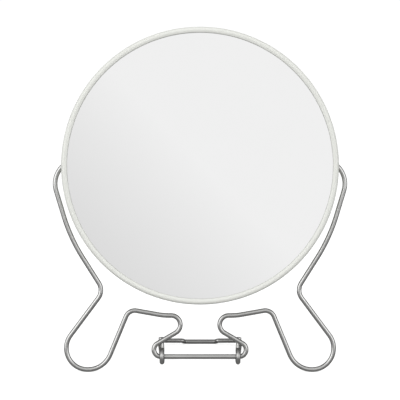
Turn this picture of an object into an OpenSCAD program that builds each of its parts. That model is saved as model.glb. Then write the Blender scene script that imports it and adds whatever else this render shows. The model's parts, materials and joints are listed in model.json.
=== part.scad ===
// Folding table mirror on a bent-wire stand.
// Origin: on the table, at the middle of the whole object's footprint. +Z up, the mirror looks to -Y.
// The stand is one wire bent in a flat plane that leans back; the head turns right round between
// its two tips, and a second wire, the rear leg, is hooked on its bottom rail and props it up.

/* [Head] */
// Outside diameter of the plastic rim
head_d = 174; // [150:1:215]
// Thickness of the head, over both rim halves
head_t = 13; // [12.5:0.5:18]
// Width of the rim that shows in front of each glass
rim_face_w = 3.8; // [3.4:0.1:8]
// Wall of the rim outside the glasses
rim_wall = 2.2; // [2:0.1:3]
// Thickness of the rim's lips over the glasses
lip_t = 1.3; // [1:0.1:1.6]
// Rounding of the rim's outer edges
rim_round = 2; // [1:0.1:2.6]
// Thickness of each glass
glass_t = 2; // [1.5:0.1:2.2]
// Radius of curvature of the magnifying glass
magnifier_r = 1100; // [800:10:2000]
// Thickness of the card behind the plain glass
card_t = 0.5; // [0.3:0.1:0.8]
// Radial width of the ring that keeps the glasses apart
spacer_w = 8; // [6:0.5:12]

/* [Wire] */
// Diameter of the stand's and the leg's wire
wire_d = 3; // [2.4:0.1:3.6]

/* [Stand] */
// How far the stand and the head lean back, in degrees
lean = 6.5; // [3:0.5:12]
// Gap between the head and the inner humps, so that the head can turn over
head_gap = 2.8; // [2:0.1:8]
// Where the inner side of a front foot would meet the table, from the middle
foot_in_x = 60.4; // [52:0.2:72]
// Width of each front foot, from there to its outer side
foot_w = 23.7; // [20:0.1:32]
// Height of the inner humps above the middle of the foot wire
hump_h = 36.9; // [33:0.5:44]
// How far the inner end of the hump stands from the middle
hump_in_x = 12.4; // [10:0.2:15]
// Half the length of the bottom rail, to the outside of its end bends
rail_half = 29; // [27:0.5:33]
// Height of the bottom rail above the middle of the foot wire
rail_h = 8.1; // [7:0.1:10]

/* [Rear leg] */
// Distance of the leg's eyes from the middle
eye_x = 23.9; // [20:0.1:24]
// Half the width of the leg at its crossbar
leg_half = 27.5; // [26:0.5:34]
// Distance from the rail to the leg's crossbar
leg_reach = 76; // [60:1:95]
// Half the width of the hanging notch in the crossbar
notch_half = 11.4; // [8:0.2:14]
// How far the notch stands out behind the crossbar
notch_out = 5; // [4.8:0.1:8]
// How far the notch is set down below the crossbar
notch_drop = 1.6; // [0.5:0.1:3]
// How far the tails of the leg reach above the rail, behind the stand's diagonals
tail_h = 12; // [11:0.5:16]
// How far the tails lean outwards at their tips
tail_lean = 0.8; // [0:0.1:1]

/* [Fits] */
// Running clearance of a wire tip in its pivot sleeve, on the radius
pivot_fit = 0.05; // [0.02:0.01:0.1]
// Clearance of an eye round the rail, on the radius
eye_fit = 0.4; // [0.3:0.05:0.6]
// Gap between a tail and the diagonal that stops it when the leg is open
stop_gap = 0.15; // [0.1:0.05:0.3]
// Clearance of the glasses inside the rim, on the radius
glass_fit = 0.3; // [0.1:0.05:0.5]

/* [Hidden] */

wire_r = wire_d / 2;
head_r = head_d / 2;
half_t = head_t / 2;
mouth_r = head_r - rim_face_w;
pocket_r = head_r - rim_wall;
glass_r = pocket_r - glass_fit;

// Height of the pivots above the middle of the foot wire, measured up the leaning plane
pivot_h = hump_h + wire_r + head_gap + head_r;

// Depths inside the head, from its middle plane: +y is the back
lip_y = half_t - lip_t;
glass_y = lip_y - glass_t;
card_y = glass_y - card_t;

// Pivot sleeve in the spacer ring, and the flared hole in the rim outside it
sleeve_bore_r = wire_r + pivot_fit;
sleeve_wall = 0.5;
sleeve_gap = 0.2;
flange_gap = 0.15;
sleeve_short = 0.8;
tip_short = 0.4;
sleeve_r = sleeve_bore_r + sleeve_wall;
sleeve_flange_r = card_y - flange_gap;
sleeve_flange_t = 0.6;
sleeve_len = spacer_w - sleeve_short;
sleeve_out_x = pocket_r - sleeve_gap;
tip_x = sleeve_out_x - sleeve_len + tip_short;
flare_in_r = wire_r + 0.4;
flare_out_r = wire_r + 2.4;
flare_in_x = pocket_r - sleeve_gap;

// Snap joint between the two rim halves
tongue_t = 0.9;
tongue_h = 2;
tongue_gap = 0.1;
parting_chamfer = 0.3;

// Bend radii of the stand wire, to the middle of the wire
elbow_bend = 2.2;
shoulder_bend = 15.5;
arm_bend = 106;
knee_bend = 8.5;
foot_out_bend = 13.3;
hump_bend = 6;
inner_bend = 5.7;
rail_bend = 4.3;

// A bend's tube is this much fuller on the radius than the straights that run into it
bend_fullness = 0.008;
// How far a straight runs into the bend at its end
lap = 0.05;
// Shortest straight left between two bends
short_straight = 0.3;

// Bend radii of the rear leg
corner_bend = 3.5;
notch_bend = 2.2;
flare_bend = 30;
eye_r = 2 * wire_r + eye_fit;
eye_bend = eye_r - short_straight / 2;
eye_straight = 6;
tail_bend = 2.4;

// Corners of the arm beside the head: how far outside the rim, and the angle below the pivots
elbow_in = 0.6;
shoulder_out = 6.3;
shoulder_angle = 4.7;
arm_out = 6.4;
arm_angle = 29.2;
knee_out = 12.3;
knee_angle = 52.4;
function arm_corner(out, angle) =
    [(head_r + out) * cos(angle), 0, pivot_h - (head_r + out) * sin(angle)];

// Distance from a corner to the end of its bend
function tangent_length(bend, turn) = bend * tan(turn / 2);

// Front foot: a round outer side, and an inner side that slopes up to the hump
foot_in_slope = 22.5;
foot_out_slope = 36.6;
foot_out_x = foot_in_x + foot_w;
foot_in_bend = (foot_w - foot_out_bend - short_straight) / tan(45 - foot_in_slope / 2);

// Hump: its top corner, and the run from there down to the inner bend
hump_corner_rise = 0.95;
hump_corner_h = hump_h + hump_corner_rise;
hump_corner_x = foot_in_x - hump_corner_h * tan(foot_in_slope);
run_drop = 2.9;
run_h = hump_h - run_drop;
run_ease = 3.3;
run_straight = 1.5;
run_corner_x = hump_in_x + inner_bend + run_ease + run_straight;
run_bend = run_ease / tan(atan((hump_corner_h - run_h) / (hump_corner_x - run_corner_x)) / 2);

// Slope of the diagonal that is tangent to both the inner bend and the rail's end bend
diagonal_dx = rail_half - rail_bend - hump_in_x - inner_bend;
diagonal_dz = run_h - inner_bend - rail_h - rail_bend;
diagonal_slope = atan2(diagonal_dz, diagonal_dx)
    - asin((inner_bend + rail_bend) / norm([diagonal_dx, diagonal_dz]));

// Corners of the right half of the stand wire, from its tip to the rail: [corner, bend radius]
stand_half = [
    [[tip_x, 0, pivot_h], 0],
    [[head_r - elbow_in, 0, pivot_h], elbow_bend],
    [arm_corner(shoulder_out, shoulder_angle), shoulder_bend],
    [arm_corner(arm_out, arm_angle), arm_bend],
    [arm_corner(knee_out, knee_angle), knee_bend],
    [[foot_out_x, 0, foot_out_bend + short_straight + tangent_length(foot_out_bend, foot_out_slope)],
        foot_out_bend],
    [[foot_out_x, 0, 0], foot_out_bend],
    [[foot_in_x, 0, 0], foot_in_bend],
    [[hump_corner_x, 0, hump_corner_h], hump_bend],
    [[run_corner_x, 0, run_h], run_bend],
    [[hump_in_x, 0, run_h], inner_bend],
    [[hump_in_x, 0, run_h - inner_bend - short_straight - tangent_length(inner_bend, 90 - diagonal_slope)],
        inner_bend],
    [[rail_half, 0, rail_h + rail_bend + short_straight + tangent_length(rail_bend, 90 - diagonal_slope)],
        rail_bend],
    [[rail_half, 0, rail_h], rail_bend]];

// Place of the stand plane: the foot wire's bends rest on the table
foot_z = wire_r + bend_fullness;
rail_y = rail_h * sin(lean);
rail_z = foot_z + rail_h * cos(lean);

// Rear leg: x is across, y is the distance behind the rail and z is the height above it.
// The leg slopes down from level so that the notch in its crossbar rests on the table.
notch_y = leg_reach + notch_out;
notch_z = -eye_r - notch_drop;
leg_slope = asin((rail_z - foot_z) / norm([notch_y, notch_z])) - atan(-notch_z / notch_y);

// The tails run up close behind the stand's diagonals, parallel to the leaning stand
tail_tilt = lean - leg_slope;
tail_y = 2 * wire_r + stop_gap + bend_fullness;
function tail_point(up) =
    [tail_y * cos(tail_tilt) + up * sin(tail_tilt), up * cos(tail_tilt) - tail_y * sin(tail_tilt)];
tail_foot_y = tail_point((eye_r + tail_y * sin(tail_tilt)) / cos(tail_tilt))[0];

// Corners of the right half of the rear leg, from the crossbar's notch to the tail's tip:
// the arm passes under the rail, turns up in front and back over it, and ends in the tail
leg_half_path = [
    [[notch_half, notch_y, notch_z], notch_bend],
    [[notch_half, leg_reach, -eye_r], notch_bend],
    [[leg_half, leg_reach, -eye_r], corner_bend],
    [[eye_x, eye_straight, -eye_r], flare_bend],
    [[eye_x, -eye_r, -eye_r], eye_bend],
    [[eye_x, -eye_r, eye_r], eye_bend],
    [[eye_x, tail_foot_y, eye_r], tail_bend],
    [[eye_x + tail_lean, tail_point(tail_h)[0], tail_point(tail_h)[1]], 0]];

// Front and back of the whole object, from the foot line
edge_r = head_r - rim_round;
edge_y = half_t - rim_round;
head_front_y = (pivot_h - edge_r) * sin(lean) - edge_y * cos(lean) - rim_round;
eye_front_y = rail_y - eye_r - wire_r - bend_fullness;
front_y = min(head_front_y, eye_front_y);
back_y = rail_y + notch_y * cos(leg_slope) + notch_z * sin(leg_slope) + wire_r;
foot_y = -(front_y + back_y) / 2;

function unit(v) = v / norm(v);
function turn(u, v) = acos(unit(u) * unit(v));
function mirrored(path) = [for (i = [len(path) - 1 : -1 : 0])
    [[-path[i][0].x, path[i][0].y, path[i][0].z], path[i][1]]];

// How much of a straight the bend at corner i takes up
function taken(path, i) =
    i == 0 || i == len(path) - 1 ? 0
    : tangent_length(path[i][1], turn(path[i][0] - path[i - 1][0], path[i + 1][0] - path[i][0]));

// Axes as the columns of a matrix, with an origin
module placed(x_axis, y_axis, z_axis, origin) {
    multmatrix([
        [x_axis.x, y_axis.x, z_axis.x, origin.x],
        [x_axis.y, y_axis.y, z_axis.y, origin.y],
        [x_axis.z, y_axis.z, z_axis.z, origin.z],
        [0, 0, 0, 1]])
        children();
}

// Straight stretch of wire from a to b
module wire_straight(a, b) {
    along = unit(b - a);
    aside = unit(cross(along, abs(along.y) < 0.9 ? [0, 1, 0] : [1, 0, 0]));
    placed(aside, cross(along, aside), along, a)
        cylinder(h = norm(b - a), r = wire_r, $fn = 48);
}

// Bend of the wire at a corner, between the directions u and v
module wire_bend(corner, u, v, bend) {
    axis = unit(cross(u, v));
    start = corner - u * tangent_length(bend, turn(u, v));
    inward = cross(axis, u);
    placed(-inward, u, axis, start + inward * bend)
        rotate_extrude(angle = turn(u, v), $fn = 96)
            translate([bend, 0])
                circle(r = wire_r + bend_fullness, $fn = 48);
}

// Wire along a path of [corner, bend radius]
module bent_wire(path) {
    last = len(path) - 1;
    for (i = [0 : last - 1]) {
        along = unit(path[i + 1][0] - path[i][0]);
        a = path[i][0] + along * (taken(path, i) - (i == 0 ? 0 : lap));
        b = path[i + 1][0] - along * (taken(path, i + 1) - (i + 1 == last ? 0 : lap));
        wire_straight(a, b);
    }
    for (i = [1 : last - 1]) {
        u = unit(path[i][0] - path[i - 1][0]);
        v = unit(path[i + 1][0] - path[i][0]);
        wire_bend(path[i][0], u, v, path[i][1]);
    }
}

// The leaning plane of the stand: z runs up it, y is square to it, 0 is the middle of the foot wire
module stand_plane() {
    translate([0, foot_y, foot_z])
        rotate([-lean, 0, 0])
            children();
}

// The head's own frame: z is its axis and points to the back
module head_frame() {
    stand_plane()
        translate([0, 0, pivot_h])
            rotate([-90, 0, 0])
                children();
}

// Rise of a surface of the given radius of curvature at a distance from its middle
function bow(curve, r) = curve - sqrt(curve * curve - r * r);

// Section of a rim half, from the parting plane (y = 0) to its lip
module rim_section() {
    difference() {
        union() {
            translate([edge_r, edge_y])
                circle(r = rim_round, $fn = 64);
            translate([pocket_r, 0])
                square([rim_wall, edge_y]);
            translate([mouth_r + lip_t / 2, lip_y])
                square([edge_r - mouth_r - lip_t / 2, lip_t * 0.9]);
            translate([mouth_r + lip_t / 2, lip_y + lip_t / 2])
                circle(r = lip_t / 2, $fn = 48);
            translate([pocket_r, edge_y - rim_round])
                square([head_r - rim_round - pocket_r + 0.01, 2 * rim_round - lip_t * 0.1]);
        }
        translate([0, -1])
            square([pocket_r, lip_y + 1]);
        translate([head_r - parting_chamfer, 0])
            polygon([[0, 0], [parting_chamfer + 1, 0], [parting_chamfer + 1, parting_chamfer],
                [parting_chamfer, parting_chamfer]]);
    }
}

// Holes for the wire tips: narrow at the sleeve, flared where the wire bends away outside
module pivot_holes() {
    for (side = [0, 180])
        rotate([0, 0, side])
            translate([flare_in_x, 0, 0])
                rotate([0, 90, 0])
                    cylinder(h = head_r + 0.1 - flare_in_x, r1 = flare_in_r, r2 = flare_out_r, $fn = 48);
}

module stand_wire() {
    color("silver")
        stand_plane()
            bent_wire(concat(stand_half, mirrored(stand_half)));
}

module rear_leg() {
    color("silver")
        translate([0, foot_y + rail_y, rail_z])
            rotate([-leg_slope, 0, 0])
                bent_wire(concat(mirrored(leg_half_path), leg_half_path));
}

module front_rim() {
    color("ivory")
        head_frame()
            difference() {
                union() {
                    mirror([0, 0, 1])
                        rotate_extrude($fn = 180)
                            rim_section();
                    // Tongue that snaps into the rear half
                    difference() {
                        translate([0, 0, -1])
                            cylinder(h = 1 + tongue_h, r = pocket_r + tongue_t, $fn = 180);
                        translate([0, 0, -2])
                            cylinder(h = 3 + tongue_h, r = pocket_r, $fn = 180);
                    }
                }
                pivot_holes();
            }
}

module rear_rim() {
    color("ivory")
        head_frame()
            difference() {
                rotate_extrude($fn = 180)
                    rim_section();
                // Rebate for the front half's tongue
                translate([0, 0, -1])
                    cylinder(h = 1 + tongue_h + tongue_gap, r = pocket_r + tongue_t + tongue_gap, $fn = 180);
                pivot_holes();
            }
}

module plain_glass() {
    color("lightsteelblue")
        head_frame()
            translate([0, 0, -lip_y])
                cylinder(h = glass_t, r = glass_r, $fn = 180);
}

// Its hollow face looks to the back
module magnifying_glass() {
    color("lightsteelblue")
        head_frame()
            rotate_extrude($fn = 180)
                translate([0, lip_y - bow(magnifier_r, glass_r)])
                    difference() {
                        translate([0, -glass_t])
                            square([glass_r, glass_t + bow(magnifier_r, glass_r) + 1]);
                        translate([0, magnifier_r])
                            circle(r = magnifier_r, $fn = 1440);
                        translate([0, magnifier_r - glass_t])
                            difference() {
                                translate([0, -magnifier_r - 1])
                                    square([glass_r + 1, magnifier_r + 1]);
                                circle(r = magnifier_r, $fn = 1440);
                            }
                    }
}

module backing_card() {
    color("tan")
        head_frame()
            translate([0, 0, -glass_y])
                cylinder(h = card_t, r = glass_r, $fn = 180);
}

// Its back face is sloped to follow the magnifying glass
module spacer_ring() {
    inner_r = glass_r - spacer_w;
    color("gainsboro")
        head_frame()
            difference() {
                rotate_extrude($fn = 180)
                    polygon([[inner_r, -card_y], [glass_r, -card_y], [glass_r, glass_y],
                        [inner_r, glass_y - bow(magnifier_r, glass_r) + bow(magnifier_r, inner_r)]]);
                for (side = [0, 180])
                    rotate([0, 0, side]) {
                        translate([inner_r - 2, 0, 0])
                            rotate([0, 90, 0])
                                cylinder(h = spacer_w + 4, r = sleeve_r, $fn = 48);
                        translate([sleeve_out_x - sleeve_flange_t, 0, 0])
                            rotate([0, 90, 0])
                                cylinder(h = 2, r = sleeve_flange_r, $fn = 48);
                    }
            }
}

// Sleeve that a wire tip turns in, with its flange outwards: side is 1 on the right, -1 on the left
module pivot_sleeve(side) {
    color("whitesmoke")
        head_frame()
            rotate([0, 90 * side, 0])
                difference() {
                    union() {
                        translate([0, 0, sleeve_out_x - sleeve_len])
                            cylinder(h = sleeve_len, r = sleeve_r, $fn = 48);
                        translate([0, 0, sleeve_out_x - sleeve_flange_t])
                            cylinder(h = sleeve_flange_t, r = sleeve_flange_r, $fn = 48);
                    }
                    translate([0, 0, sleeve_out_x - sleeve_len - 1])
                        cylinder(h = sleeve_len + 2, r = sleeve_bore_r, $fn = 48);
                }
}

module left_pivot_sleeve() {
    pivot_sleeve(-1);
}

module right_pivot_sleeve() {
    pivot_sleeve(1);
}

stand_wire();
rear_leg();
front_rim();
rear_rim();
plain_glass();
magnifying_glass();
backing_card();
spacer_ring();
left_pivot_sleeve();
right_pivot_sleeve();
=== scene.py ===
"""Folding shaving mirror: the looks of its wire stand, its hinged leg and its two-sided head."""

import json
from math import asin, atan, atan2, ceil, cos, hypot, pi, radians, sin, sqrt, tan

import bmesh
import bpy
from bpy.props import FloatProperty, FloatVectorProperty, IntProperty, PointerProperty
from mathutils import Matrix, Vector


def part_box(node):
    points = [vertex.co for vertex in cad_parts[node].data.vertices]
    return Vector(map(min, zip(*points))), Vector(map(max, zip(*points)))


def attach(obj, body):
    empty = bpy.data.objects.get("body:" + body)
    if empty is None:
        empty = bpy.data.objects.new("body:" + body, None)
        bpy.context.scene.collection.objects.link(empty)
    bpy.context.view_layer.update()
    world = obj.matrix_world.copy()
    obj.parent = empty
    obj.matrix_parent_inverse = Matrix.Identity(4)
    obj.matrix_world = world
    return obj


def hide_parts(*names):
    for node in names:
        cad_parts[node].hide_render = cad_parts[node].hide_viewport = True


bl_info = {
    "name": "Folding Shaving Mirror",
    "version": (1, 0, 0),
    "blender": (4, 5, 0),
    "location": "View3D > Sidebar > Shaving Mirror",
    "description": "Builds a two-sided shaving mirror on a folding bent-wire stand",
    "category": "Object",
}

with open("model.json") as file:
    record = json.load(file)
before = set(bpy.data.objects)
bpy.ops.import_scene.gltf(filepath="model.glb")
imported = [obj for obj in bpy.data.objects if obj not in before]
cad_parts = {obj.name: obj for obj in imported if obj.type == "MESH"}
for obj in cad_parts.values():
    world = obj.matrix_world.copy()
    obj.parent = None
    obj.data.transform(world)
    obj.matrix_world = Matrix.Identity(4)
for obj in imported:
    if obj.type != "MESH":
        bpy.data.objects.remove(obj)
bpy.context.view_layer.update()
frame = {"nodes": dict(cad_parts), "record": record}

MM = 0.001
JOINTS = {joint["name"]: joint for joint in frame["record"]["behaviour"]["joints"]}
PIVOT = Vector(JOINTS["mirror_tilt"]["pos_m"])
RAIL = Vector(JOINTS["rear_leg_swing"]["pos_m"])
HEAD_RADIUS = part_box("front_rim")[1].x
SLOTS = {part["node"]: part["material_slot"] for part in frame["record"]["subparts"]}
COLOURS = {made["slot"]: tuple(made["base_color"][:3]) for made in frame["record"]["materials"]}

RIM_FACETS = 288
GLASS_FACETS = 192
HOLE_FACETS = 64
# Edges sharper than these angles, in degrees, are shaded sharp
WIRE_SMOOTH = 35.0
RIM_SMOOTH = 28.0
GLASS_SMOOTH = 10.0

# The stand's own plane leans back through both the rail and the pivots
LEAN = atan2(PIVOT.y - RAIL.y, PIVOT.z - RAIL.z)


# Settings ---------------------------------------------------------------------------------------

def length(name, description, default):
    return FloatProperty(name=name, description=description, default=default, min=0.0, unit="LENGTH",
                         precision=5)


def colour(name, description, default):
    return FloatVectorProperty(name=name, description=description, default=default, size=3, min=0.0, max=1.0,
                               subtype="COLOR")


class WireSizes(bpy.types.PropertyGroup):
    radius: length("Wire Radius", "Half the thickness of the stand's and the leg's wire", 1.5 * MM)
    rounding: length("Cut Rounding", "Rounding of the wire's cut ends", 0.5 * MM)
    facets: IntProperty(name="Facets", description="Faces round the wire", default=32, min=12, max=64)
    step: length("Bend Step", "Longest stretch of one face along a bend", 0.9 * MM)
    tint: colour("Plating", "Colour of the satin nickel plating", COLOURS["wire"])


class StandSizes(bpy.types.PropertyGroup):
    rail_height: length("Rail Height", "Height of the rail above the middle of the foot wire", 8.1 * MM)
    rail_half: length("Half Rail", "Half the length of the bottom rail, over its end bends", 29 * MM)
    hump_height: length("Hump Height", "Height of the inner humps", 36.9 * MM)
    hump_inside: length("Hump Inside", "Distance of the humps' inner ends from the middle", 12.4 * MM)
    foot_inside: length("Foot Inside", "Where a foot's inner side would meet the table", 60.4 * MM)
    foot_width: length("Foot Width", "Width of a front foot", 23.7 * MM)


class LegSizes(bpy.types.PropertyGroup):
    eye_place: length("Eye Place", "Distance of the leg's eyes from the middle", 23.9 * MM)
    eye_fit: length("Eye Clearance", "Clearance of an eye round the rail", 0.4 * MM)
    half_width: length("Half Crossbar", "Half the width of the crossbar", 27.5 * MM)
    reach: length("Reach", "Distance from the rail to the crossbar", 76 * MM)
    notch_half: length("Half Notch", "Half the width of the hanging notch", 11.4 * MM)
    notch_out: length("Notch Depth", "How far the notch stands out behind the crossbar", 5 * MM)
    notch_drop: length("Notch Drop", "How far the notch is set below the crossbar", 1.6 * MM)
    tail_height: length("Tail Height", "How far the tails reach above the rail", 12 * MM)
    tail_lean: length("Tail Spread", "How far the tails spread outwards", 0.8 * MM)
    tail_gap: length("Tail Gap", "Gap between a tail and the diagonal in front of it", 0.158 * MM)


class HeadSizes(bpy.types.PropertyGroup):
    thickness: length("Thickness", "Thickness of the head", 13 * MM)
    face: length("Rim Face", "Width of the rim in front of a glass", 3.8 * MM)
    wall: length("Rim Wall", "Wall of the rim outside the glasses", 2.2 * MM)
    lip: length("Lip", "Thickness of the rim's lips", 1.3 * MM)
    rounding: length("Edge Rounding", "Rounding of the rim's outer edges", 2 * MM)
    slope: length("Face Slope", "How far the rim's face falls away towards the glass", 0.6 * MM)
    glass: length("Glass", "Thickness of a glass", 2 * MM)
    bow: length("Bow Radius", "Radius of curvature of the magnifying glass", 1100 * MM)
    glass_gap: length("Glass Clearance", "Clearance of a glass inside the rim", 0.3 * MM)
    flare_in: length("Hole Radius", "Radius of a pivot hole at its sleeve", 1.9 * MM)
    flare_out: length("Hole Flare", "Radius of a pivot hole at the rim's edge", 3.9 * MM)
    rim_tint: colour("Rim", "Colour of the moulded rim", COLOURS["rim"])
    silver_tint: colour("Silvering", "Colour of the mirror's reflection", COLOURS["mirror_glass"])


class StageSizes(bpy.types.PropertyGroup):
    distance: length("Camera Distance", "Distance of the camera from the stand's plane", 0.87)
    aim: length("Aim Height", "Height in the stand's plane that the camera is aimed at", 0.1067)
    view_width: length("View Width", "Width of the stand's plane that the camera sees", 0.2518)
    floor_tint: colour("Floor", "Colour of the floor", (0.9, 0.9, 0.9))


class ShavingMirror(bpy.types.PropertyGroup):
    wire: PointerProperty(type=WireSizes)
    stand: PointerProperty(type=StandSizes)
    leg: PointerProperty(type=LegSizes)
    head: PointerProperty(type=HeadSizes)
    stage: PointerProperty(type=StageSizes)


# Finishes ---------------------------------------------------------------------------------------

class Level:
    """A number that changes over a surface: a socket that can be added, multiplied and so on."""

    def __init__(self, finish, socket):
        self.finish = finish
        self.socket = socket

    def worked(self, operation, *values):
        node = self.finish.node("ShaderNodeMath", {"operation": operation}, dict(enumerate(values)))
        return Level(self.finish, node.outputs[0])

    def __add__(self, other):
        return self.worked("ADD", self, other)

    __radd__ = __add__

    def __sub__(self, other):
        return self.worked("SUBTRACT", self, other)

    def __rsub__(self, other):
        return self.worked("SUBTRACT", other, self)

    def __mul__(self, other):
        return self.worked("MULTIPLY", self, other)

    __rmul__ = __mul__

    def __pow__(self, other):
        return self.worked("POWER", self, other)

    def __abs__(self):
        return self.worked("ABSOLUTE", self)

    def held(self):
        """The same number, kept from 0 to 1."""
        return self.worked("MINIMUM", self.worked("MAXIMUM", self, 0.0), 1.0)

    def between(self, low, high):
        """0 below low, 1 above high and an even rise from one to the other."""
        return ((self - low) * (1.0 / (high - low))).held()


class Finish:
    """A node tree for one surface finish, or for the world round the object."""

    def __init__(self, tree):
        self.tree = tree
        tree.nodes.clear()

    def node(self, kind, settings=None, sockets=None):
        made = self.tree.nodes.new(kind)
        for setting, value in (settings or {}).items():
            setattr(made, setting, value)
        for socket, value in (sockets or {}).items():
            if isinstance(value, Level):
                self.tree.links.new(value.socket, made.inputs[socket])
            elif isinstance(value, bpy.types.NodeSocket):
                self.tree.links.new(value, made.inputs[socket])
            elif value is not None:
                made.inputs[socket].default_value = value
        return made

    def level(self, kind, settings=None, sockets=None, output=0):
        return Level(self, self.node(kind, settings, sockets).outputs[output])

    def noise(self, place, scale, detail=3.0, roughness=0.5):
        return self.level("ShaderNodeTexNoise", {"noise_dimensions": "3D"},
                          {"Vector": place, "Scale": scale, "Detail": detail, "Roughness": roughness})

    def mixed(self, amount, first, second):
        """A colour that goes from first to second as amount goes from 0 to 1."""
        shades = [tuple(shade) + (1.0,) if isinstance(shade, tuple) else shade for shade in (first, second)]
        mix = self.node("ShaderNodeMix", {"data_type": "RGBA"}, {0: amount, 6: shades[0], 7: shades[1]})
        return mix.outputs[2]

    def stretched(self, place, scale, origin=(0.0, 0.0, 0.0), turned=(0.0, 0.0, 0.0)):
        return self.node("ShaderNodeMapping", {"vector_type": "POINT"},
                         {"Vector": place, "Location": origin, "Rotation": turned, "Scale": scale}).outputs[0]

    def parts_of(self, vector):
        split = self.node("ShaderNodeSeparateXYZ", sockets={0: vector})
        return [Level(self, output) for output in split.outputs]

    def object_place(self):
        return self.node("ShaderNodeTexCoord").outputs["Object"]

    def surface(self, colour, roughness, height, depth, **fixed):
        """The shader itself: colour, roughness and the height of the relief vary, the rest is fixed."""
        relief = self.node("ShaderNodeBump", sockets={"Height": height, "Distance": depth, "Strength": 1.0})
        sockets = {"Base Color": colour, "Roughness": roughness, "Normal": relief.outputs[0]}
        sockets.update((name.replace("_", " "), value) for name, value in fixed.items())
        shader = self.node("ShaderNodeBsdfPrincipled", sockets=sockets)
        self.node("ShaderNodeOutputMaterial", sockets={"Surface": shader.outputs[0]})


def new_finish(name):
    material = bpy.data.materials.new(name)
    material.use_nodes = True
    return material, Finish(material.node_tree)


def shaded(tint, factor):
    return tuple(min(1.0, part * factor) for part in tint)


def nickel_wire(name, tint, rub_at):
    """Drawn, satin-plated wire: faint draw marks run along it. Where the eyes wrap the rail it is dulled by
    rubbing and painted darker as shade.
    """
    material, finish = new_finish(name)
    on_wire = finish.node("ShaderNodeAttribute", {"attribute_name": "wire_place"}).outputs["Vector"]
    streaks = finish.noise(finish.stretched(on_wire, (900.0, 900.0, 16.0)), 1.0, 3.0, 0.6)
    grain = finish.noise(finish.stretched(on_wire, (2600.0, 2600.0, 500.0)), 1.0, 2.0, 0.5)
    clouds = finish.noise(on_wire, 85.0, 3.0, 0.55)
    x, y, z = finish.parts_of(finish.object_place())
    along_rail = abs(abs(x) - rub_at).between(1.0 * MM, 2.6 * MM)
    from_rail = ((y - RAIL.y) ** 2.0 + (z - RAIL.z) ** 2.0) ** 0.5
    # painted shade where the eyes wrap the rail, in the colour; in the roughness the same mask is rub wear
    rub_wear_and_shade = ((1.0 - along_rail) * (1.0 - from_rail.between(3.0 * MM, 6.5 * MM))).held()
    plating = finish.mixed(clouds.between(0.3, 0.7), shaded(tint, 0.93), shaded(tint, 1.06))
    drawn = finish.mixed(streaks.between(0.35, 0.72) * 0.55, plating, shaded(tint, 0.78))
    worn_and_shaded = finish.mixed(rub_wear_and_shade * 0.45, drawn, shaded(tint, 0.6))
    dull = 0.24 + streaks * 0.1 + grain * 0.05 + clouds.between(0.55, 0.8) * 0.05 + rub_wear_and_shade * 0.12
    finish.surface(worn_and_shaded, dull, streaks * 0.7 + grain * 0.3, 0.0025 * MM, Metallic=1.0)
    return material


def moulded_rim(name, tint, mouth):
    """Off-white moulded plastic with a fine skin. Dust has settled in the groove where the halves meet,
    and a thin painted shadow darkens the lip's edge against the glass."""
    material, finish = new_finish(name)
    place = finish.object_place()
    skin = finish.noise(place, 2300.0, 2.0, 0.5)
    sink = finish.noise(place, 140.0, 2.0, 0.5)
    blotch = finish.noise(place, 38.0, 3.0, 0.6)
    x, y, z = finish.parts_of(place)
    depth = (y - PIVOT.y) * cos(LEAN) - (z - PIVOT.z) * sin(LEAN)
    up = (y - PIVOT.y) * sin(LEAN) + (z - PIVOT.z) * cos(LEAN)
    # painted shadow: a thin dark line along the lip's inner edge, where shade falls between lip and glass
    lip_shadow = 1.0 - ((x ** 2.0 + up ** 2.0) ** 0.5).between(mouth + 0.12 * MM, mouth + 0.5 * MM)
    groove = 1.0 - abs(depth).between(0.12 * MM, 0.55 * MM)
    settled = groove * blotch.between(0.3, 0.62)
    plain = finish.mixed(blotch.between(0.3, 0.75), tint, shaded(tint, 0.975))
    lip_shaded = finish.mixed(lip_shadow * (0.7 + blotch * 0.3), plain, shaded(tint, 0.66))
    # the colour here carries both the dust in the groove and the painted shadow along the lip
    dust_and_shadow = finish.mixed(settled * 0.5, lip_shaded, shaded(tint, 0.62))
    across = finish.stretched(place, (260.0, 40.0, 90.0), turned=(0.4, 0.2, 0.7))
    scuffs = finish.noise(across, 1.0, 4.0, 0.62)
    dull = 0.4 + skin * 0.06 + scuffs.between(0.6, 0.72) * 0.14 + settled * 0.2
    finish.surface(dust_and_shadow, dull, skin * 0.2 + sink * 0.8, 0.0016 * MM, IOR=1.49, Coat_Weight=0.1,
                   Coat_Roughness=0.2)
    return material


def silvered_glass(name, tint):
    """Mirror glass: an even reflection, with the faintest film of dust and wiping marks."""
    material, finish = new_finish(name)
    place = finish.object_place()
    film = finish.noise(finish.stretched(place, (22.0, 22.0, 22.0)), 1.0, 3.0, 0.6)
    wiped = finish.noise(finish.stretched(place, (16.0, 60.0, 130.0), turned=(0.0, 0.6, 0.0)), 1.0, 3.0, 0.5)
    specks = finish.noise(place, 900.0, 1.0, 0.5).between(0.76, 0.82)
    hazy = finish.mixed(film.between(0.35, 0.8) * 0.5 + specks * 0.3, tint, shaded(tint, 0.985))
    dull = 0.012 + film.between(0.4, 0.8) * 0.014 + wiped.between(0.55, 0.8) * 0.012 + specks * 0.05
    finish.surface(hazy, dull, film, 0.0002 * MM, Metallic=1.0)
    return material


def plain_card(name, tint):
    material, finish = new_finish(name)
    place = finish.object_place()
    felted = finish.stretched(place, (1500.0, 260.0, 900.0), turned=(0.3, 0.5, 0.2))
    fibres = finish.noise(felted, 1.0, 4.0, 0.7)
    pulp = finish.noise(place, 320.0, 3.0, 0.6)
    fleck = finish.mixed(fibres.between(0.4, 0.7) * 0.6, tint, shaded(tint, 0.72))
    finish.surface(finish.mixed(pulp.between(0.5, 0.8) * 0.4, fleck, shaded(tint, 1.25)), 0.86 + pulp * 0.08,
                   fibres * 0.6 + pulp * 0.4, 0.03 * MM)
    return material


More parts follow.
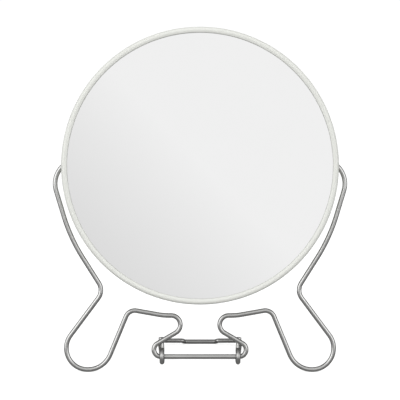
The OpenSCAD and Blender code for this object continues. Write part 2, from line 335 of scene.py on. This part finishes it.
def inner_moulding(name, tint):
    material, finish = new_finish(name)
    place = finish.object_place()
    skin = finish.noise(place, 1700.0, 3.0, 0.55)
    flow = finish.noise(finish.stretched(place, (60.0, 220.0, 60.0)), 1.0, 3.0, 0.5)
    finish.surface(finish.mixed(flow.between(0.35, 0.7), tint, shaded(tint, 0.93)), 0.5 + skin * 0.14,
                   skin, 0.02 * MM, IOR=1.46)
    return material


# Shapes -----------------------------------------------------------------------------------------

def axes_at(origin, x_axis, y_axis, z_axis):
    turned = Matrix((x_axis, y_axis, z_axis)).transposed().to_4x4()
    turned.translation = origin
    return turned


ACROSS = Vector((1, 0, 0))
UP_STAND = Vector((0, sin(LEAN), cos(LEAN)))
INTO_STAND = Vector((0, cos(LEAN), -sin(LEAN)))
IN_HEAD = axes_at(PIVOT, ACROSS, -UP_STAND, INTO_STAND)


def eased(bm, smooth_below):
    """Shades a bmesh smooth where its faces meet gently, and sharp where they don't."""
    for face in bm.faces:
        face.smooth = True
    for edge in bm.edges:
        edge.smooth = len(edge.link_faces) == 2 and edge.calc_face_angle(0.0) < radians(smooth_below)


def finished(bm, name, material, smooth_below=WIRE_SMOOTH):
    """Turns a bmesh into an object."""
    mesh = bpy.data.meshes.new(name)
    bmesh.ops.recalc_face_normals(bm, faces=bm.faces)
    eased(bm, smooth_below)
    bm.to_mesh(mesh)
    bm.free()
    mesh.materials.append(material)
    made = bpy.data.objects.new(name, mesh)
    bpy.context.scene.collection.objects.link(made)
    return made


def settings():
    return bpy.context.scene.shaving_mirror


def bend_run(bend, turn):
    """Distance from a corner to the end of its bend."""
    return bend * tan(turn / 2)


def mirrored(path):
    return [(Vector((-corner.x, corner.y, corner.z)), bend) for corner, bend in reversed(path)]


def ring_of(made):
    return [part for part in made if isinstance(part, bmesh.types.BMEdge)]


def points_of(made):
    return [part for part in made if isinstance(part, bmesh.types.BMVert)]


def drawn_wire(path, sizes, place):
    """Sweeps a round section along a path of (corner, bend radius), one ring at a time."""
    bm = bmesh.new()
    on_wire = bm.verts.layers.float_vector.new("wire_place")
    corners = [corner for corner, bend in path]
    ways = [(after - before).normalized() for before, after in zip(corners, corners[1:])]
    turns = [0.0] + [before.angle(after) for before, after in zip(ways, ways[1:])] + [0.0]
    taken = [bend_run(bend, turn) for (corner, bend), turn in zip(path, turns)]
    facing = ways[0].to_track_quat("Z", "Y").to_matrix().to_4x4()
    cut = bmesh.ops.create_circle(bm, cap_ends=False, radius=sizes.radius, segments=sizes.facets)
    for vert in cut["verts"]:
        vert[on_wire] = (vert.co.x, vert.co.y, 0.0)
    bmesh.ops.transform(bm, matrix=Matrix.Translation(corners[0]) @ facing, verts=cut["verts"])
    ring = list({edge for vert in cut["verts"] for edge in vert.link_edges})
    first = ring
    travelled = 0.0

    def marked(made, distance):
        for vert in points_of(made):
            vert[on_wire] = (vert[on_wire].x, vert[on_wire].y, distance)
        return ring_of(made)

    for index, way in enumerate(ways):
        run = (corners[index + 1] - corners[index]).length - taken[index] - taken[index + 1]
        travelled += run
        made = bmesh.ops.extrude_edge_only(bm, edges=ring)["geom"]
        bmesh.ops.translate(bm, vec=way * run, verts=points_of(made))
        ring = marked(made, travelled)
        turn, bend = turns[index + 1], path[index + 1][1]
        if index + 1 == len(ways) or turn < 1e-5:
            continue
        axis = way.cross(ways[index + 1]).normalized()
        centre = corners[index + 1] - way * taken[index + 1] + axis.cross(way) * bend
        steps = max(4, ceil(turn * bend / sizes.step), ceil(turn / radians(9)))
        for step in range(steps):
            travelled += turn * bend / steps
            made = bmesh.ops.spin(bm, geom=ring, cent=centre, axis=axis, angle=turn / steps, steps=1,
                                  use_duplicate=False)["geom_last"]
            ring = marked(made, travelled)
    for end in (first, ring):
        cap = bmesh.ops.contextual_create(bm, geom=end)["faces"]
        bmesh.ops.bevel(bm, geom=list(cap[0].edges), offset=sizes.rounding, segments=4, profile=0.5,
                        affect="EDGES", material=-1)
    bmesh.ops.transform(bm, matrix=place, verts=bm.verts)
    return bm


def stand_half(s):
    """Corners of the right half of the stand, from its tip in the head to the middle of the rail."""
    pivot = s.stand.rail_height + (PIVOT - RAIL).length
    stub, tip_short = 0.3 * MM, 0.4 * MM
    elbow_in, elbow_bend = 0.6 * MM, 2.2 * MM
    shoulder_bend, arm_bend, knee_bend, hump_bend = 15.5 * MM, 106 * MM, 8.5 * MM, 6 * MM
    hump_rise, run_drop, run_straight = 0.95 * MM, 2.9 * MM, 1.5 * MM

    def beside_head(out, angle):
        """Point in the stand's plane, so many millimetres outside the rim and degrees below the pivots."""
        reach = HEAD_RADIUS + out * MM
        return Vector((reach * cos(radians(angle)), 0, pivot - reach * sin(radians(angle))))

    foot_out = s.stand.foot_inside + s.stand.foot_width
    slope_in, slope_out, outer = radians(22.5), radians(36.6), 13.3 * MM
    inner = (s.stand.foot_width - outer - stub) / tan(pi / 4 - slope_in / 2)
    hump_top = s.stand.hump_height + hump_rise
    hump_x = s.stand.foot_inside - hump_top * tan(slope_in)
    run_z = s.stand.hump_height - run_drop
    inside, rail_bend, ease = 5.7 * MM, 4.3 * MM, 3.3 * MM
    run_x = s.stand.hump_inside + inside + ease + run_straight
    run_bend = ease / tan(atan((hump_top - run_z) / (hump_x - run_x)) / 2)
    across = s.stand.rail_half - rail_bend - s.stand.hump_inside - inside
    down = run_z - inside - s.stand.rail_height - rail_bend
    slope = atan2(down, across) - asin((inside + rail_bend) / hypot(across, down))
    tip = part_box("right_pivot_sleeve")[0].x + tip_short
    return [
        (Vector((tip, 0, pivot)), 0.0),
        (Vector((HEAD_RADIUS - elbow_in, 0, pivot)), elbow_bend),
        (beside_head(6.3, 4.7), shoulder_bend),
        (beside_head(6.4, 29.2), arm_bend),
        (beside_head(12.3, 52.4), knee_bend),
        (Vector((foot_out, 0, outer + stub + bend_run(outer, slope_out))), outer),
        (Vector((foot_out, 0, 0)), outer),
        (Vector((s.stand.foot_inside, 0, 0)), inner),
        (Vector((hump_x, 0, hump_top)), hump_bend),
        (Vector((run_x, 0, run_z)), run_bend),
        (Vector((s.stand.hump_inside, 0, run_z)), inside),
        (Vector((s.stand.hump_inside, 0, run_z - inside - stub - bend_run(inside, pi / 2 - slope))), inside),
        (Vector((s.stand.rail_half, 0,
                 s.stand.rail_height + rail_bend + stub + bend_run(rail_bend, pi / 2 - slope))), rail_bend),
        (Vector((s.stand.rail_half, 0, s.stand.rail_height)), rail_bend)]


def leg_half(s):
    """Corners of the right half of the leg, from the middle of its crossbar to the tip of its tail,
    and how far the open leg slopes down."""
    leg, wire = s.leg, s.wire.radius
    eye = 2 * wire + leg.eye_fit
    notch_y, notch_z = leg.reach + leg.notch_out, -eye - leg.notch_drop
    above_foot = s.stand.rail_height * cos(LEAN)
    slope = asin(above_foot / hypot(notch_y, notch_z)) - atan(-notch_z / notch_y)
    tilt = LEAN - slope
    behind = 2 * wire + leg.tail_gap
    notch_bend, corner_bend, flare_bend, tail_bend = 2.2 * MM, 3.5 * MM, 30 * MM, 2.4 * MM
    eye_straight, half_stub = 6 * MM, 0.15 * MM

    def on_tail(up):
        return behind * cos(tilt) + up * sin(tilt), up * cos(tilt) - behind * sin(tilt)

    foot = on_tail((eye + behind * sin(tilt)) / cos(tilt))[0]
    bend = eye - half_stub
    return slope, [
        (Vector((leg.notch_half, notch_y, notch_z)), notch_bend),
        (Vector((leg.notch_half, leg.reach, -eye)), notch_bend),
        (Vector((leg.half_width, leg.reach, -eye)), corner_bend),
        (Vector((leg.eye_place, eye_straight, -eye)), flare_bend),
        (Vector((leg.eye_place, -eye, -eye)), bend),
        (Vector((leg.eye_place, -eye, eye)), bend),
        (Vector((leg.eye_place, foot, eye)), tail_bend),
        (Vector((leg.eye_place + leg.tail_lean, *on_tail(leg.tail_height))), 0.0)]


def turned_shape(outline, rounded, facets):
    """Rounds the corners of an outline of (radius, depth) points, and turns it about the head's axis."""
    bm = bmesh.new()
    verts = [bm.verts.new((radius, 0, depth)) for radius, depth in outline]
    face = bm.faces.new(verts)
    for index, size, segments in rounded:
        bmesh.ops.bevel(bm, geom=[verts[index]], offset=size, segments=segments, profile=0.5,
                        affect="VERTICES", material=-1)
    bmesh.ops.delete(bm, geom=list(bm.faces), context="FACES_ONLY")
    bmesh.ops.spin(bm, geom=list(bm.verts) + list(bm.edges), cent=(0, 0, 0), axis=(0, 0, 1), angle=2 * pi,
                   steps=facets, use_merge=True, use_duplicate=False)
    bmesh.ops.remove_doubles(bm, verts=bm.verts, dist=1e-7)
    bmesh.ops.delete(bm, geom=[edge for edge in bm.edges if not edge.link_faces], context="EDGES")
    return bm


# Operators --------------------------------------------------------------------------------------

class SHAVING_MIRROR_OT_stand(bpy.types.Operator):
    """Bend the stand from one wire: arms, front feet, humps and bottom rail"""
    bl_idname = "shaving_mirror.stand"
    bl_label = "Wire Stand"

    def execute(self, context):
        s = settings()
        half = stand_half(s)
        foot = RAIL - UP_STAND * s.stand.rail_height
        bm = drawn_wire(half + mirrored(half), s.wire, axes_at(foot, ACROSS, INTO_STAND, UP_STAND))
        nickel = nickel_wire("satin nickel stand", tuple(s.wire.tint), s.leg.eye_place)
        stand = finished(bm, "bent_stand", nickel)
        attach(stand, "stand")
        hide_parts("stand_wire")
        return {"FINISHED"}


class SHAVING_MIRROR_OT_leg(bpy.types.Operator):
    """Bend the rear leg from one wire: crossbar with its notch, arms, eyes and tails"""
    bl_idname = "shaving_mirror.leg"
    bl_label = "Rear Leg"

    def execute(self, context):
        s = settings()
        slope, half = leg_half(s)
        back, up = Vector((0, cos(slope), -sin(slope))), Vector((0, sin(slope), cos(slope)))
        sloped = axes_at(RAIL, ACROSS, back, up)
        bm = drawn_wire(mirrored(half) + half, s.wire, sloped)
        nickel = nickel_wire("satin nickel leg", tuple(s.wire.tint), s.leg.eye_place)
        leg = finished(bm, "hinged_leg", nickel)
        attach(leg, "leg")
        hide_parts("rear_leg")
        return {"FINISHED"}


class SHAVING_MIRROR_OT_rim(bpy.types.Operator):
    """Turn both halves of the moulded rim and cut their flared pivot holes"""
    bl_idname = "shaving_mirror.rim"
    bl_label = "Rim Halves"

    def execute(self, context):
        s = settings()
        head = s.head
        half = head.thickness / 2
        pocket, mouth = HEAD_RADIUS - head.wall, HEAD_RADIUS - head.face
        crown = HEAD_RADIUS - head.rounding
        crown_flat, into_pocket = 0.6 * MM, 0.2 * MM
        # Which corner of the outline is rounded, by how much, and with how many faces
        corners = [(0, 0.3 * MM, 2), (1, 1.98 * MM, 10), (2, 0.9 * MM, 4), (3, 0.42 * MM, 6),
                   (4, 0.3 * MM, 4)]
        for node, side in (("front_rim", -1), ("rear_rim", 1)):
            outline = [(HEAD_RADIUS, 0), (HEAD_RADIUS, half), (crown - crown_flat, half),
                       (mouth, half - head.slope), (mouth, half - head.lip), (pocket, half - head.lip),
                       (pocket, 0)]
            bm = turned_shape([(radius, depth * side) for radius, depth in outline], corners, RIM_FACETS)
            bmesh.ops.recalc_face_normals(bm, faces=bm.faces)
            bmesh.ops.transform(bm, matrix=IN_HEAD, verts=bm.verts)
            plastic = moulded_rim("off-white " + node.replace("_", " "), tuple(head.rim_tint), mouth)
            rim = finished(bm, node.replace("_rim", "_rim_half"), plastic, RIM_SMOOTH)
            self.pierce(rim, pocket - into_pocket, head)
            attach(rim, "mirror_head")
            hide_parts(node)
        return {"FINISHED"}

    def pierce(self, rim, start, head):
        """Cuts both flared holes out of one half of the rim."""
        past_rim = 0.1 * MM
        depth = HEAD_RADIUS + past_rim - start
        cutter_bm = bmesh.new()
        for way in (1, -1):
            upright = Matrix.Rotation(way * pi / 2, 4, "Y") @ Matrix.Translation((0, 0, start + depth / 2))
            bmesh.ops.create_cone(cutter_bm, cap_ends=True, segments=HOLE_FACETS, radius1=head.flare_in,
                                  radius2=head.flare_out, depth=depth, matrix=IN_HEAD @ upright)
        cutter_mesh = bpy.data.meshes.new("hole cutter")
        cutter_bm.to_mesh(cutter_mesh)
        cutter_bm.free()
        cutter = bpy.data.objects.new("hole cutter", cutter_mesh)
        bpy.context.scene.collection.objects.link(cutter)
        cut = rim.modifiers.new("pivot holes", "BOOLEAN")
        cut.operation = "DIFFERENCE"
        cut.solver = "EXACT"
        cut.object = cutter
        worked = bpy.data.meshes.new_from_object(rim.evaluated_get(bpy.context.evaluated_depsgraph_get()))
        rim.modifiers.clear()
        rim.data = worked
        worked_bm = bmesh.new()
        worked_bm.from_mesh(worked)
        eased(worked_bm, RIM_SMOOTH)
        worked_bm.to_mesh(worked)
        worked_bm.free()
        bpy.data.objects.remove(cutter)
        bpy.data.meshes.remove(cutter_mesh)


class SHAVING_MIRROR_OT_glasses(bpy.types.Operator):
    """Turn the plain glass at the front and the hollow magnifying glass at the back"""
    bl_idname = "shaving_mirror.glasses"
    bl_label = "Glasses"

    def execute(self, context):
        s = settings()
        head = s.head
        face = head.thickness / 2 - head.lip
        edge = HEAD_RADIUS - head.wall - head.glass_gap
        silver = tuple(head.silver_tint)
        ground_edge = 0.3 * MM
        plain = turned_shape([(0, -face), (edge, -face), (edge, head.glass - face), (0, head.glass - face)],
                             [(1, ground_edge, 2), (2, ground_edge, 2)], GLASS_FACETS)
        self.place(plain, "flat_mirror", "plain_glass", silvered_glass("silvered flat glass", silver))

        def hollow(radius):
            return sqrt(head.bow ** 2 - radius ** 2) - sqrt(head.bow ** 2 - edge ** 2)

        ring_count = 24
        rings = [edge * step / ring_count for step in range(ring_count + 1)]
        rising = [(radius, face - hollow(radius)) for radius in rings]
        falling = [(radius, depth - head.glass) for radius, depth in reversed(rising)]
        bowed = turned_shape(rising + falling, [(ring_count, ground_edge, 2)], GLASS_FACETS)
        self.place(bowed, "magnifying_mirror", "magnifying_glass",
                   silvered_glass("silvered hollow glass", silver))
        return {"FINISHED"}

    def place(self, bm, name, node, material):
        bmesh.ops.transform(bm, matrix=IN_HEAD, verts=bm.verts)
        glass = finished(bm, name, material, GLASS_SMOOTH)
        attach(glass, "mirror_head")
        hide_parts(node)


class SHAVING_MIRROR_OT_inside(bpy.types.Operator):
    """Finish the card, the spacer ring and the pivot sleeves inside the head"""
    bl_idname = "shaving_mirror.inside"
    bl_label = "Inside the Head"

    def execute(self, context):
        card = plain_card("grey card", COLOURS[SLOTS["backing_card"]])
        white = inner_moulding("white moulding", COLOURS[SLOTS["spacer_ring"]])
        for node, material in (("backing_card", card), ("spacer_ring", white), ("left_pivot_sleeve", white),
                               ("right_pivot_sleeve", white)):
            shown = frame["nodes"][node]
            shown.data.materials.clear()
            shown.data.materials.append(material)
        return {"FINISHED"}


class SHAVING_MIRROR_OT_stage(bpy.types.Operator):
    """Set the pale floor, the soft studio light and the camera"""
    bl_idname = "shaving_mirror.stage"
    bl_label = "Studio"

    def execute(self, context):
        s = settings()
        scene = context.scene
        scene.view_settings.view_transform = "Standard"
        self.floor(s.stage)
        self.surroundings(scene)
        self.lamp("window light", (-1.3, -0.9, 0.6), (1.5, 1.5), 11.5)
        self.lamp("right light", (1.3, -0.9, 0.6), (1.1, 1.2), 6.0)
        self.lamp("top light", (0.0, -0.3, 1.5), (1.2, 0.9), 1.8)
        self.camera(scene, s)
        return {"FINISHED"}

    def floor(self, sizes):
        bm = bmesh.new()
        bmesh.ops.create_grid(bm, x_segments=1, y_segments=1, size=6.0)
        material, finish = new_finish("pale floor")
        paint = tuple(sizes.floor_tint) + (1.0,)
        bounce = (0.4, 0.4, 0.4, 1.0)
        bright = finish.node("ShaderNodeBsdfPrincipled", sockets={
            "Base Color": paint, "Roughness": 0.9, "Specular IOR Level": 0.1, "Emission Color": (1, 1, 1, 1),
            "Emission Strength": 0.75})
        plain = finish.node("ShaderNodeBsdfDiffuse", sockets={"Color": bounce})
        seen = finish.node("ShaderNodeLightPath").outputs["Is Camera Ray"]
        both = finish.node("ShaderNodeMixShader", sockets={
            0: seen, 1: plain.outputs[0], 2: bright.outputs[0]})
        finish.node("ShaderNodeOutputMaterial", sockets={"Surface": both.outputs[0]})
        floor = finished(bm, "floor", material)

    def surroundings(self, scene):
        """White all round to the eye; what the metal and the mirror reflect is a lit room in front
        and dim space behind."""
        world = bpy.data.worlds.new("studio")
        world.use_nodes = True
        scene.world = world
        finish = Finish(world.node_tree)
        way = finish.node("ShaderNodeTexCoord").outputs["Generated"]
        x, y, z = finish.parts_of(way)
        front = (0.0 - y).between(0.15, 0.7)
        glow = (x + z).between(0.0, 0.14)
        room = front * (0.79 + glow * 0.178) + (1.0 - front) * 0.17
        grey = finish.node("ShaderNodeCombineColor", sockets={0: room, 1: room, 2: room}).outputs[0]
        lit = finish.node("ShaderNodeBackground", sockets={"Color": grey, "Strength": 1.0})
        white = finish.node("ShaderNodeBackground", sockets={"Color": (1, 1, 1, 1), "Strength": 1.05})
        seen = finish.node("ShaderNodeLightPath").outputs["Is Camera Ray"]
        both = finish.node("ShaderNodeMixShader", sockets={0: seen, 1: lit.outputs[0], 2: white.outputs[0]})
        finish.node("ShaderNodeOutputWorld", sockets={"Surface": both.outputs[0]})

    def lamp(self, name, place, size, power):
        light = bpy.data.lights.new(name, "AREA")
        light.shape = "RECTANGLE"
        light.size, light.size_y = size
        light.energy = power
        lamp = bpy.data.objects.new(name, light)
        lamp.location = place
        lamp.rotation_euler = (Vector((0, 0, 0.1)) - lamp.location).to_track_quat("-Z", "Y").to_euler()
        bpy.context.scene.collection.objects.link(lamp)

    def camera(self, scene, s):
        lens = bpy.data.cameras.new("studio camera")
        lens.sensor_width = 36.0
        lens.lens = 36.0 * s.stage.distance / s.stage.view_width
        lens.clip_start, lens.clip_end = 0.01, 50.0
        eye = bpy.data.objects.new("studio camera", lens)
        aim = RAIL + UP_STAND * (s.stage.aim - s.stand.rail_height)
        eye.location = aim - INTO_STAND * s.stage.distance
        eye.rotation_euler = INTO_STAND.to_track_quat("-Z", "Y").to_euler()
        scene.collection.objects.link(eye)
        scene.camera = eye


class SHAVING_MIRROR_PT_panel(bpy.types.Panel):
    """Lists the builders of the mirror's pieces"""
    bl_idname = "SHAVING_MIRROR_PT_panel"
    bl_label = "Shaving Mirror"
    bl_space_type = "VIEW_3D"
    bl_region_type = "UI"
    bl_category = "Shaving Mirror"

    def draw(self, context):
        for operator in OPERATORS:
            self.layout.operator(operator.bl_idname)


GROUPS = (WireSizes, StandSizes, LegSizes, HeadSizes, StageSizes, ShavingMirror)
OPERATORS = (SHAVING_MIRROR_OT_stand, SHAVING_MIRROR_OT_leg, SHAVING_MIRROR_OT_rim, SHAVING_MIRROR_OT_glasses,
             SHAVING_MIRROR_OT_inside, SHAVING_MIRROR_OT_stage)
CLASSES = GROUPS + OPERATORS + (SHAVING_MIRROR_PT_panel,)


def register():
    for made in CLASSES:
        bpy.utils.register_class(made)
    bpy.types.Scene.shaving_mirror = PointerProperty(type=ShavingMirror)


def unregister():
    del bpy.types.Scene.shaving_mirror
    for made in reversed(CLASSES):
        bpy.utils.unregister_class(made)


def main():
    register()
    bpy.ops.shaving_mirror.stand()
    bpy.ops.shaving_mirror.leg()
    bpy.ops.shaving_mirror.rim()
    bpy.ops.shaving_mirror.glasses()
    bpy.ops.shaving_mirror.inside()
    bpy.ops.shaving_mirror.stage()


if __name__ == "__main__":
    main()
